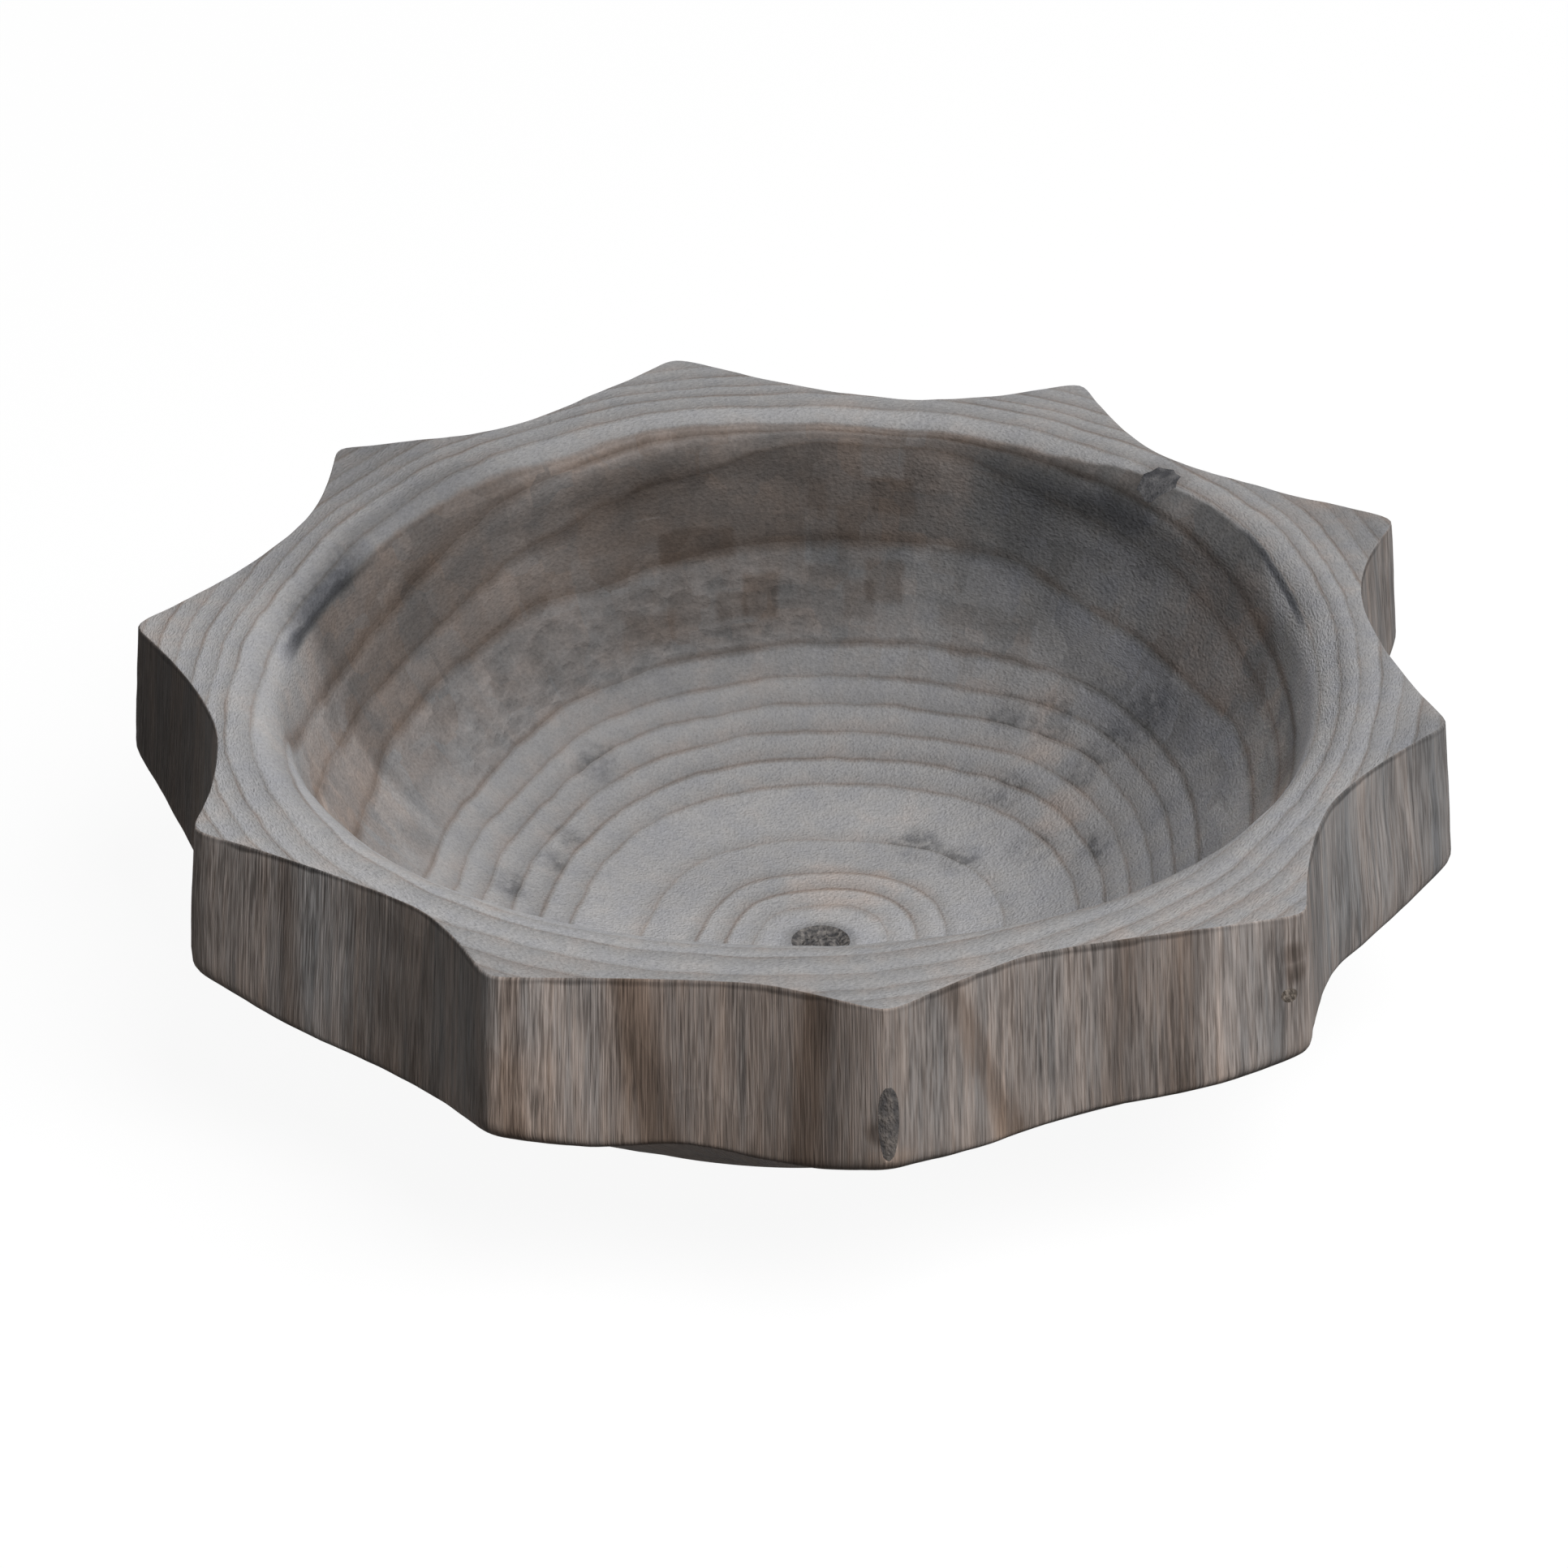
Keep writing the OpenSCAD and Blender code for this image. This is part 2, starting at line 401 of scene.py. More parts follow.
def bend(start, corner, end, share):
    """A rounded corner from start to end, as a curve that leaves towards the corner."""
    near, middle, far = (1 - share) ** 2, 2 * share * (1 - share), share**2
    return tuple(near * a + middle * b + far * c for a, b, c in zip(start, corner, end))


def half_sections(outline, opening, nearness, lift):
    """Radius and height of every station of the half section, one row for each direction."""
    column = np.zeros_like(outline)[:, None]
    outline, opening, nearness, lift = outline[:, None], opening[:, None], nearness[:, None], lift[:, None]
    lean = math.tan(math.radians(SIDE_LEAN))

    def shares(count, last=False):
        return column + np.linspace(0, 1, count, endpoint=last)

    def side_r(z):
        return outline + (RIM_H - z) * lean

    runs = []
    runs.append((FLOOR_R * shares(FLOOR_STEPS), column + FLOOR_T))
    steep = 2 * np.arctan((RIM_H - FLOOR_T) / (opening - FLOOR_R))
    wall_round = (opening - FLOOR_R) / np.sin(steep) - LIP_ROUND
    turn = steep * shares(WALL_STEPS)
    runs.append((FLOOR_R + wall_round * np.sin(turn), FLOOR_T + wall_round * (1 - np.cos(turn))))
    turn = steep * (1 - shares(LIP_STEPS))
    runs.append((opening - LIP_ROUND * np.sin(turn), RIM_H - LIP_ROUND * (1 - np.cos(turn))))
    runs.append((opening + (outline - TOP_EDGE - opening) * shares(RIM_STEPS), column + RIM_H))
    below = RIM_H - TOP_EDGE
    runs.append(bend(
        (outline - TOP_EDGE, RIM_H), (outline, RIM_H), (side_r(below), below), shares(EDGE_STEPS)
    ))
    low = column + RIM_H / 2
    for _ in range(SETTLE_ROUNDS):
        low = underside(side_r(low), lift)
    rounding = LOW_EDGE_FLUTE + (LOW_EDGE_POINT - LOW_EDGE_FLUTE) * nearness
    high = low + rounding
    z = below + (high - below) * shares(SIDE_STEPS)
    runs.append((side_r(z), z))
    inner = side_r(low) - rounding
    runs.append(bend(
        (side_r(high), high), (side_r(low), low), (inner, underside(inner, lift)), shares(EDGE_STEPS)
    ))
    foot = FOOT_R + FOOT_EDGE
    r = inner + (foot - inner) * shares(UNDER_STEPS)
    runs.append((r, underside(r, lift)))
    runs.append(bend(
        (foot, underside(foot, lift)), (FOOT_R, 0), (FOOT_R - FOOT_EDGE, 0), shares(EDGE_STEPS)
    ))
    runs.append(((FOOT_R - FOOT_EDGE) * (1 - shares(FOOT_STEPS, last=True)), column))
    wide = [np.broadcast_arrays(r, z) for r, z in runs]
    return np.concatenate([r for r, _ in wide], axis=1), np.concatenate([z for _, z in wide], axis=1)


def turned_blank(r, z):
    """A lathe blank: the half section drawn point by point, then spun round the axis."""
    deselect_all()
    bpy.ops.mesh.primitive_plane_add(size=MM, location=(0, 0, 0))
    blank = new_piece("carved_bowl")
    edit(blank)
    bpy.ops.mesh.merge(type="CENTER")
    bpy.ops.transform.translate(value=(r[0] * MM, 0, z[0] * MM))
    for dr, dz in zip(np.diff(r) * MM, np.diff(z) * MM):
        bpy.ops.mesh.extrude_vertices_move(TRANSFORM_OT_translate={"value": (dr, 0, dz)})
    leave_edit()
    apply_modifier(blank, "SCREW", steps=TURN_STEPS, render_steps=TURN_STEPS, use_merge_vertices=False)
    return blank


def carved_body():
    """The turned blank with its outside carved to ten points and its edges worn."""
    mean = np.array([np.mean([reach for _, reach in POINTS])])
    r, z = half_sections(mean, np.array([OPENING[0][1]]), np.zeros(1), np.zeros(1))
    body = turned_blank(r[0], z[0])
    at = places(body)
    radius = np.hypot(at[:, 0], at[:, 1])
    station = np.argmin(np.abs((radius + 1j * at[:, 2])[:, None] - (r[0] + 1j * z[0])[None]), axis=1)
    step = np.rint(np.arctan2(at[:, 1], at[:, 0]) / (2 * np.pi) * TURN_STEPS).astype(int) % TURN_STEPS
    angles = np.arange(TURN_STEPS) * 360 / TURN_STEPS
    outline, lift = star_outline(angles)
    lift = lift + LIFT_MEAN + LIFT_SWING * np.cos(2 * np.radians(angles))
    r, z = half_sections(outline, opening_outline(angles), point_nearness(angles), lift)
    turn = np.radians(angles)[step]
    reach, height = r[step, station], z[step, station]
    set_places(body, np.column_stack([reach * np.cos(turn), reach * np.sin(turn), height]))
    edit(body)
    bpy.ops.mesh.select_all(action="SELECT")
    bpy.ops.mesh.remove_doubles(threshold=MERGE_GAP * MM)
    bpy.ops.mesh.normals_make_consistent(inside=False)
    leave_edit()
    group = body.vertex_groups.new(name=CARVED_GROUP)
    group.add([v.index for v in body.data.vertices if v.co.z > CARVED_ABOVE * MM], 1, "REPLACE")
    for size, depth in CARVING:
        carving(body, size, depth)
    body.vertex_groups.clear()
    return body


def carving(piece, size, depth):
    """Uneven tool work over everything but the foot."""
    cloud = bpy.data.textures.new("carving", "CLOUDS")
    cloud.noise_scale = size * MM
    cloud.noise_depth = 1
    apply_modifier(
        piece, "DISPLACE", texture=cloud, strength=depth * MM, mid_level=0.5,
        texture_coords="LOCAL", vertex_group=CARVED_GROUP,
    )


def stem(name, base, tip, base_r, tip_r):
    """A round stem, thinner or thicker towards its tip."""
    start, end = Vector(base), Vector(tip)
    deselect_all()
    bpy.ops.mesh.primitive_cone_add(
        vertices=STEM_SIDES, radius1=base_r * MM, radius2=tip_r * MM, depth=(end - start).length * MM,
        location=(start + end) / 2 * MM, rotation=(end - start).to_track_quat("Z", "Y").to_euler(),
    )
    return new_piece(name)


def plug_form(gap, extra):
    base, tip = (PITH_X, PITH_Y, -extra), (PITH_X, PITH_Y, FLOOR_T + extra)
    return stem("pith_filling_plug", base, tip, PLUG_R - gap, PLUG_R - gap)


def knot_form(gap):
    """The leaning stem of the dead knot, which the side cuts to a long lens."""
    angle, reach = POINTS[KNOT_POINT]
    x, y = on_ring(angle, reach + KNOT_DROP * math.tan(math.radians(SIDE_LEAN)))
    middle = Vector((x, y, RIM_H - KNOT_DROP))
    inward = Vector((-x, -y, 0)).normalized() * math.sin(math.radians(KNOT_LEAN))
    along = inward + Vector((0, 0, math.cos(math.radians(KNOT_LEAN))))
    base, tip = middle - along * KNOT_OUTER, middle + along * (KNOT_DEPTH - gap)
    return stem("dead_knot_stem", base, tip, KNOT_R - gap, KNOT_TIP_R - gap)


def pin_form(gap):
    angle, reach = POINTS[PIN_POINT]
    base = on_ring(angle + PIN_TURN, reach - PIN_DEPTH + gap)
    tip = on_ring(angle + PIN_TURN, reach + PIN_OUTER)
    height = RIM_H - PIN_DROP
    return stem("small_knot", (*base, height), (*tip, height), PIN_R - gap, PIN_R - gap)


def patch_form(gap):
    """A ragged block over the lip, drawn as a cylinder whose sides are pushed in and out."""
    deselect_all()
    height = PATCH_DEPTH + PATCH_OVER - gap
    middle = RIM_H + PATCH_OVER - height / 2
    bpy.ops.mesh.primitive_cylinder_add(
        vertices=len(PATCH_RAGS), radius=MM, depth=height * MM, location=(0, 0, middle * MM)
    )
    block = new_piece("rim_filling")
    at = places(block)
    turn = np.arctan2(at[:, 1], at[:, 0])
    rag = np.array(PATCH_RAGS)[np.rint(turn / (2 * np.pi) * len(PATCH_RAGS)).astype(int) % len(PATCH_RAGS)]
    out = PATCH_R + (PATCH_HALF_WIDTH * rag - gap) * np.cos(turn)
    along = (PATCH_HALF_LENGTH * rag - gap) * np.sin(turn)
    facing = math.radians(PATCH_ANGLE)
    x = out * math.cos(facing) - along * math.sin(facing)
    y = out * math.sin(facing) + along * math.cos(facing)
    set_places(block, np.column_stack([x, y, at[:, 2]]))
    return block


def copy_of(piece, name):
    make_active(piece)
    bpy.ops.object.duplicate()
    made = bpy.context.active_object
    made.name = name
    made.data.name = name
    return made


def combine(piece, other, operation):
    """Cuts a piece by another, or keeps what they share, and takes the other away."""
    apply_modifier(piece, "BOOLEAN", object=other, operation=operation, solver="EXACT")
    deselect_all()
    other.select_set(True)
    bpy.ops.object.delete()


def let_in(body, form):
    """A piece that fills its own pocket and is dressed flush with the carved faces."""
    shape = form(FIT_GAP)
    name = shape.name
    shape.name = name + "_form"
    piece = copy_of(body, name)
    combine(piece, shape, "INTERSECT")
    return piece


def pith_plug():
    """The filling of the hollow pith, with a sunk ring and a crumpled middle."""
    plug = plug_form(FIT_GAP, 0)
    edit(plug)
    bpy.ops.mesh.select_all(action="DESELECT")
    leave_edit()
    for face in plug.data.polygons:
        face.select = face.normal.z > 0.9
    edit(plug)
    for _ in range(PLUG_RINGS):
        bpy.ops.mesh.inset(thickness=PLUG_R / (PLUG_RINGS + 1) * MM, use_even_offset=True)
    bpy.ops.mesh.poke()
    leave_edit()
    at = places(plug)
    away = np.hypot(at[:, 0] - PITH_X, at[:, 1] - PITH_Y)
    top = (at[:, 2] > FLOOR_T / 2) & (away < PLUG_R - PLUG_EDGE)
    # Folds that cross each other
    wave = np.sin(at[:, 0] * 2.1 + 1.3 * np.sin(at[:, 1] * 1.7)) * np.cos(at[:, 1] * 1.9 + at[:, 0] * 0.6)
    sunk = PLUG_SINK * np.exp(-(((away - PLUG_SINK_R) / PLUG_SINK_WIDTH) ** 2))
    at[:, 2] += np.where(top, PLUG_CRUMPLE * (wave - 1) * (away < PLUG_SINK_R) - sunk, 0)
    set_places(plug, at)
    return plug


def add_camera():
    data = bpy.data.cameras.new("camera")
    data.lens = LENS
    data.sensor_width = SENSOR
    camera = bpy.data.objects.new("camera", data)
    bpy.context.scene.collection.objects.link(camera)
    camera.location = EYE
    camera.rotation_mode = "QUATERNION"
    roll = Quaternion((0, 0, 1), math.radians(CAMERA_ROLL))
    camera.rotation_quaternion = (LOOK_AT - EYE).to_track_quat("-Z", "Y") @ roll
    bpy.context.scene.camera = camera


def add_lamp(name, direction, power):
    data = bpy.data.lights.new(name, "AREA")
    data.shape = "DISK"
    data.size = LAMP_SIZE
    data.energy = power
    lamp = bpy.data.objects.new(name, data)
    bpy.context.scene.collection.objects.link(lamp)
    towards = Vector(direction).normalized()
    lamp.location = towards * LAMP_AWAY
    lamp.rotation_mode = "QUATERNION"
    lamp.rotation_quaternion = (-towards).to_track_quat("-Z", "Y")


def feed(socket, value):
    """Links a signal to a socket, or sets the socket's own value."""
    if isinstance(value, Signal):
        socket.id_data.links.new(value.socket, socket)
    else:
        socket.default_value = value


def add_node(tree, kind, settings, sockets, out=0):
    """Adds one node: its settings are made first, and then its sockets are fed."""
    made = tree.nodes.new(kind)
    for name, value in settings.items():
        setattr(made, name, value)
    for name, value in sockets.items():
        feed(made.inputs[name], value)
    return Signal(made.outputs[out]) if made.outputs else None


class Signal:
    """An output of a node, on which plain arithmetic works."""

    def __init__(self, socket):
        self.socket = socket

    def node(self, kind, settings, sockets, out=0):
        return add_node(self.socket.id_data, kind, settings, sockets, out)

    def calc(self, operation, *values):
        return self.node("ShaderNodeMath", {"operation": operation}, dict(enumerate(values)))

    def vector(self, operation, *values, out=0):
        return self.node("ShaderNodeVectorMath", {"operation": operation}, dict(enumerate(values)), out)

    def scaled(self, share):
        """A colour or a vector times a number."""
        return self.node("ShaderNodeVectorMath", {"operation": "SCALE"}, {0: self, "Scale": share})

    def __add__(self, other):
        return self.calc("ADD", self, other)

    def __radd__(self, other):
        return self.calc("ADD", other, self)

    def __sub__(self, other):
        return self.calc("SUBTRACT", self, other)

    def __rsub__(self, other):
        return self.calc("SUBTRACT", other, self)

    def __mul__(self, other):
        return self.calc("MULTIPLY", self, other)

    def __rmul__(self, other):
        return self.calc("MULTIPLY", other, self)

    def __truediv__(self, other):
        return self.calc("DIVIDE", self, other)

    def __pow__(self, other):
        return self.calc("POWER", self, other)

    def __abs__(self):
        return self.calc("ABSOLUTE", self)

    def most(self, other):
        return self.calc("MAXIMUM", self, other)

    def least(self, other):
        return self.calc("MINIMUM", self, other)

    def alone(self, operation):
        return self.calc(operation, self)

    def parts(self):
        """The three numbers of a vector."""
        return [self.node("ShaderNodeSeparateXYZ", {}, {0: self}, out) for out in range(3)]

    def rise(self, low, high, start=0, end=1, shape="SMOOTHSTEP"):
        """start at low, end at high and an even turn between, also where high is the lower one."""
        return self.node(
            "ShaderNodeMapRange", {"interpolation_type": shape},
            {"Value": self, "From Min": low, "From Max": high, "To Min": start, "To Max": end},
        )

    def between(self, low, first, last, high):
        """1 from first to last, going down to 0 at low and high."""
        return self.rise(low, first) * self.rise(high, last)

    def blend(self, first, second):
        """A number from first to second, with this signal as the share."""
        return self.node("ShaderNodeMix", {"data_type": "FLOAT"}, {0: self, 2: first, 3: second})

    def tint(self, first, second):
        """A colour from first to second, with this signal as the share."""
        return self.node("ShaderNodeMix", {"data_type": "RGBA"}, {0: self, 6: first, 7: second}, 2)

    def noise(self, sizes, detail, seed):
        """Noise about nought, mostly from -1 to 1, in grains of these sizes in millimetres."""
        grid = self.vector("MULTIPLY_ADD", self, [1 / size for size in sizes], (seed, 2 * seed, 3 * seed))
        grain = grid.node("ShaderNodeTexNoise", {}, {"Vector": grid, "Scale": 1, "Detail": detail})
        return (grain - 0.5) * 4

    def texture(self, name):
        """One of the wood's named noises."""
        return self.noise(*GRAINS[name])


def new_material(name):
    """An empty material, with the place on the object in millimetres and the surface's own direction."""
    material = bpy.data.materials.new(name)
    material.use_nodes = True
    tree = material.node_tree
    tree.nodes.clear()
    spot = add_node(tree, "ShaderNodeTexCoord", {}, {}, "Object")
    place = spot.scaled(1 / MM)
    normal = add_node(tree, "ShaderNodeNewGeometry", {}, {}, "Normal")
    return material, place, normal


def finish_material(colour, roughness, height):
    """Bare wood: a dull surface with fine relief, whose height is in millimetres."""
    relief = colour.node("ShaderNodeBump", {}, {"Strength": 1, "Distance": MM, "Height": height})
    surface = colour.node(
        "ShaderNodeBsdfPrincipled", {},
        {"Base Color": colour, "Roughness": roughness, "Specular IOR Level": WOOD_GLOSS, "Normal": relief},
    )
    colour.node("ShaderNodeOutputMaterial", {}, {"Surface": surface})


class Wood:
    """Where a place lies in the log and on the bowl, as signals that the colours are built from."""

    def __init__(self, place, normal):
        self.place = place
        self.x, self.y, self.z = place.parts()
        self.radius = (self.x * self.x + self.y * self.y + TINY) ** 0.5
        self.turn = self.y.calc("ARCTAN2", self.y, self.x)
        nx, ny, up = normal.parts()
        outward = (nx * self.x + ny * self.y) / self.radius
        self.side = outward.rise(*SIDE_FACING)
        self.inside = 1 - self.side
        self.under = up.rise(*UNDER_FACING)
        self.patchy = place.texture("patches")
        self.cloudy = place.texture("clouds")
        self.smear = place.texture("smears")
        self.wave = place.texture("waves")
        self.rings()
        self.grain = self.joined(self.x * SIDE_R / self.radius, self.y * SIDE_R / self.radius, self.z)
        self.combed = self.joined(self.reach, self.turn * SIDE_R, self.z)

    def joined(self, x, y, z):
        return self.place.node("ShaderNodeCombineXYZ", {}, {"X": x, "Y": y, "Z": z})

    def towards(self, angle, half, soft):
        """1 within half degrees of a direction from the middle, and 0 past a soft edge."""
        facing = (self.turn - math.radians(angle)).alone("COSINE")
        return facing.rise(math.cos(math.radians(half + soft)), math.cos(math.radians(max(half - soft, 0))))

    def part(self, name):
        """1 in a named part of the bowl."""
        return self.towards(*PARTS[name])

    def blocks(self, width, height):
        """Random numbers, each on its own block of the wall."""
        grid = self.joined(self.turn * (WALL_R / width), self.z / height, 0)
        cell = {"Vector": grid, "Scale": 1, "Randomness": BLOCK_RANDOM}
        return grid.node("ShaderNodeTexVoronoi", {"distance": "CHEBYCHEV"}, cell, "Color").parts()

    def boxes(self, blocks):
        """The gains of these blocks of the back wall (x, z, half sizes, gain), with soft edges."""
        shift = self.place.texture("block edges") * BLOCK_SHIFT
        total = 0
        for x, z, half_x, half_z, gain in blocks:
            across = abs(self.x + shift - x).rise(half_x + BLOCK_SOFT, half_x - BLOCK_SOFT)
            upwards = abs(self.z + shift - z).rise(half_z + BLOCK_SOFT, half_z - BLOCK_SOFT)
            total = total + across * upwards * gain
        return total * self.y.rise(*BACK_WALL)

    def near(self, spots, soft):
        """1 in the middle of any of these spots (x, y, z, size) and 0 at their ragged edges."""
        ragged = self.place.texture("spot edges")
        marks = []
        for x, y, z, size in spots:
            away = self.place.vector("DISTANCE", self.place, (x, y, z), out=1)
            marks.append((away + ragged * size * SPOT_RAGS).rise(size * (1 + soft), size * (1 - soft)))
        return reduce(Signal.most, marks)

    def rings(self):
        """Year rings round a leaning pith, a little oval and wavy."""
        drop = self.z - RIM_H
        across = self.x + drop * PITH_LEAN_X - PITH_RIM_X
        along = self.y + drop * PITH_LEAN_Y - PITH_RIM_Y
        square = across * across + along * along + TINY
        oval = 1 - OVAL_ALONG * (across * across - along * along) / square
        oval = oval + OVAL_ACROSS * across * along / square
        lobes = (self.turn * LOBES - math.radians(LOBES * LOBE_TURN)).alone("COSINE")
        ripple = self.place.texture("ripples")
        plain = square ** 0.5
        # The waves are calmer near the pith and on the steep wall
        steep = self.z.between(35, 70, 101, 107.5) * self.radius.rise(162, 158)
        calm = plain.rise(10, 70, 0.25, 1) * (1 - steep * 0.6)
        oval_reach = plain / oval - calm * (lobes * LOBE_SIZE + self.wave * RING_WAVE + ripple * RING_RIPPLE)
        reach = oval_reach
        for angle, half, soft, low, first, last, high, shift in RING_SHIFTS:
            part = self.towards(angle, half, soft) * oval_reach.between(low, first, last, high)
            reach = reach + part * shift
        self.reach = reach
        lip = LIP_RING
        for angle, half, soft, shift in LIP_SHIFTS:
            lip = lip + self.towards(angle, half, soft) * shift
        self.within = lip - reach
        self.count_rings()

    def count_rings(self):
        """The share of the way through a ring, its own random number, and how far off its lines are."""
        count = self.reach.rise(0, RINGS[0], 0, 1, "LINEAR")
        for inner, outer in zip(RINGS, RINGS[1:]):
            count = count + self.reach.rise(inner, outer, 0, 1, "LINEAR")
        self.share = count.alone("FRACT")
        number = (count + 0.5).alone("FLOOR")
        self.odd = number.node("ShaderNodeTexWhiteNoise", {"noise_dimensions": "1D"}, {"W": number})
        gap = RING_GAP
        for first, last, share in WIDE_RINGS:
            start, end = RINGS[first], RINGS[last]
            wide = self.reach.between(start, start + RING_STEP, end - RING_STEP, end)
            gap = gap + wide * share * WIDE_GAP
        self.past = self.share * gap
        self.off = self.share.least(1 - self.share) * gap


def wall_lightness(wood, low, front_left):
    """Lightness of the dark wall, from part to part, with painted shade in the crease below the lip."""
    z, reach = wood.z, wood.reach
    tone = WALL_TONE + low * 0.01 + front_left * 0.1
    for angle, half, soft, gain in WALL_PATCHES:
        tone = tone + wood.towards(angle, half, soft) * gain
    tone = tone + reach.rise(154, 158.5) * z.rise(88, 94) * wood.part("back lip") * 0.12
    tone = tone + low * z.rise(42, 48) * wood.part("low left wall") * 0.035
    tone = tone + wood.part("low right wall") * z.rise(88, 72) * 0.09
    tone = tone + low * z.rise(60, 48) * wood.part("low back wall") * 0.06
    # Painted shade in the crease where the lip meets the wall
    crease_shade = reach.between(151.2, 151.8, 152.5, 156) * z.rise(86, 92) * wood.part("crease_shade")
    return tone * (1 - crease_shade * 0.42)


def lip_gain(wood, wall):
    """Paler and greyer bands along the lip, and painted light on the right lip, which turns away from the
    lamp.
    """
    pale_ring = wood.within.rise(-0.4, -1.4) * wood.reach.rise(167.2, 165.8) * wood.z.rise(102, 105)
    # glow is painted light on the right lip, where it turns away from the lamp
    glow = wood.part("glow") * wood.reach.between(156.5, 160, 167, 175) * wood.inside
    left_lip = wood.part("left lip")
    grey_lip = left_lip * wood.within.between(-11, -6, -1, 1)
    left_band = left_lip * wood.reach.between(150.5, 152, 154.5, 157.5)
    gain = (1 + pale_ring * wood.part("pale ring") * 0.14) * (1 + glow * 0.6)
    return gain * (1 - grey_lip * 0.2) * (1 - left_band * wall * 0.25)


def end_grain(wood):
    """Lightness and warmth of cut ends, and where the wall is: it starts at the line along the lip."""
    x, y, z = wood.x, wood.y, wood.z
    left, right = wood.part("left"), wood.part("right")
    right_lip_painted_light = wood.part("right lip")
    front_left = z.rise(74, 62).blend(wood.part("front left"), wood.part("low front left"))
    open_side = front_left.most(wood.part("open front"))
    # On the right lip the rim's pale colour runs further down: partly the lip's own pale ring, partly
    # painted light where the lip turns away from the lamp
    lip_edge = (wood.within - right_lip_painted_light * 9).rise(-0.7 - right_lip_painted_light * 1.5, 0.9)
    lip_edge = open_side.blend(lip_edge, z.rise(98, 70)) * z.rise(*WALL_END)
    wall = z.rise(*WALL_START) * lip_edge
    rim = z.rise(*RIM_START) * (1 - lip_edge)

    # Lightness of the wall, the floor and the rim
    low = wood.reach.rise(*LOW_WALL)
    brown = wood.part("brown wall") * (1 - low) * z.rise(62, 68) * wood.reach.rise(152.5, 151.5)
    low_brown = low * z.rise(43, 50) * wood.part("low brown wall")
    block, block_hue, _ = wood.blocks(BLOCK_WIDTH, BLOCK_HEIGHT)
    wall_tone = wall_lightness(wood, low, front_left) * (1 - brown * 0.37)
    wall_tone = wall_tone * (1 - low_brown * 0.2) * (0.88 + block * 0.24)
    near_floor = y.rise(45, -15) * z.rise(17, 12) * x.rise(85, 25)
    far_floor = z.between(12, 26, 45, 60) * wood.part("far floor")
    floor_tone = FLOOR_TONE * (1 + near_floor * 0.22) * (1 - far_floor * 0.21)
    rim_tone = (RIM_TONE + left * 0.075) * (1 - wood.part("dim rim") * 0.16)
    tone = wall.blend(rim.blend(floor_tone, rim_tone), wall_tone)
    tone = tone * (1 + wood.patchy * wall.blend(0.05, 0.2) + wood.cloudy * 0.06)

    # Rings: each darkens towards its inner line, and the lines are broken
    depth = (wall * (1 - low)).blend(0.2, 0.23) * (0.6 + wood.odd * 0.6)
    shade = wall.blend(wood.past.rise(6.5, 0), (1 - wood.share) ** 1.6)
    broken = wood.place.texture("line breaks").rise(-0.9, 0.6, 0.3, 1)
    broken = broken * (1 - wood.part("front") * rim * 0.5)
    line = wood.off.rise(wall.blend(1.2, 1.7), 0.15) * (0.5 + wood.odd * 0.6) * broken
    line = line.most(abs(wood.within).rise(1.1, 0.2) * wood.part("lip line") * 0.55)
    tone = tone * (1.07 - shade * depth) * (1 - line * wall.blend(0.3, 0.44)) * lip_gain(wood, wall)
    edge = wood.radius.rise(172, 194) * rim
    for angle, half, soft, loss in RIM_EDGE_SHADES:
        tone = tone * (1 - wood.towards(angle, half, soft) * edge * loss)

    warm = wall.blend(0.12, 0.68 + (block_hue - 0.5) * 0.35) + wood.cloudy * 0.2 + wood.patchy * 0.16
    warm = warm + line * 0.45 + shade * 0.2 + (brown + low_brown * 2) * 0.15
    warm = warm + edge * (0.22 + wood.patchy * 0.3) * (1 - wood.part("back"))
    warm = warm - right * 0.16 - left * rim * 0.08 - wall * wood.part("cool wall") * 0.3
    warm = warm - wall * low * (0.25 + wood.part("cool low wall") * 0.3)
    return tone, warm, wall


def long_grain(wood):
    """Lightness and warmth of the outer side: fibres, bands from the rings and dark streaks, with painted
    shade under the rim's edge and painted light and shade on some flanks.
    """
    x, y, z = wood.x, wood.y, wood.z
    fibre = wood.grain.texture("fibres")
    strand = wood.grain.texture("strands")
    band = wood.grain.texture("bands")
    dense = wood.grain.texture("density").rise(-0.8, 0.8, 0.45, 1)
    tone = SIDE_TONE * (1 + strand * 0.24 + band * 0.12 + wood.patchy * 0.06)
    tone = tone * (1 - fibre.rise(-0.7, 0.8) * dense * 0.62) * (1.03 - (1 - wood.share) * 0.1)
    marks = []
    for start, slant, half, strength in STREAKS:
        away = abs(x - start - (RIM_H - z) * slant + band * 1.5)
        marks.append(away.rise(half * 1.6, half * 0.3, 0, strength))
    streak = reduce(Signal.most, marks) * y.rise(-60, -90)
    flute = (wood.radius - (RIM_H - z) * 0.08).rise(198, 189, 0.25, 1)
    # Painted shade along the side just under the rim's edge in the flutes
    top_edge_shade = (z + wood.cloudy * 0.6).rise(105.6, 106.9) * flute * (0.75 + wood.patchy * 0.35)
    tone = tone * (1 - streak) * (1 - top_edge_shade * (0.6 + wood.part("deepest top edge shade") * 0.3))
    # Flanks made darker or paler: partly their own tone, partly painted light and shade
    for angle, half, gain in SIDE_TONE_LIGHT_AND_SHADE:
        tone = tone * (1 + wood.towards(angle, half, half * 0.6) * gain)
    warm = 0.78 + strand * 0.2 + band * 0.28 + fibre * 0.15 + streak * 1.2 + z.rise(72, 50) * 0.25
    warm = warm - wood.part("right") * 0.35 + wood.part("brown side") * 0.3
    warm = warm - wood.part("grey side") * 0.4 + wood.part("warm lower side") * z.rise(92, 76) * 0.45
    return tone, warm


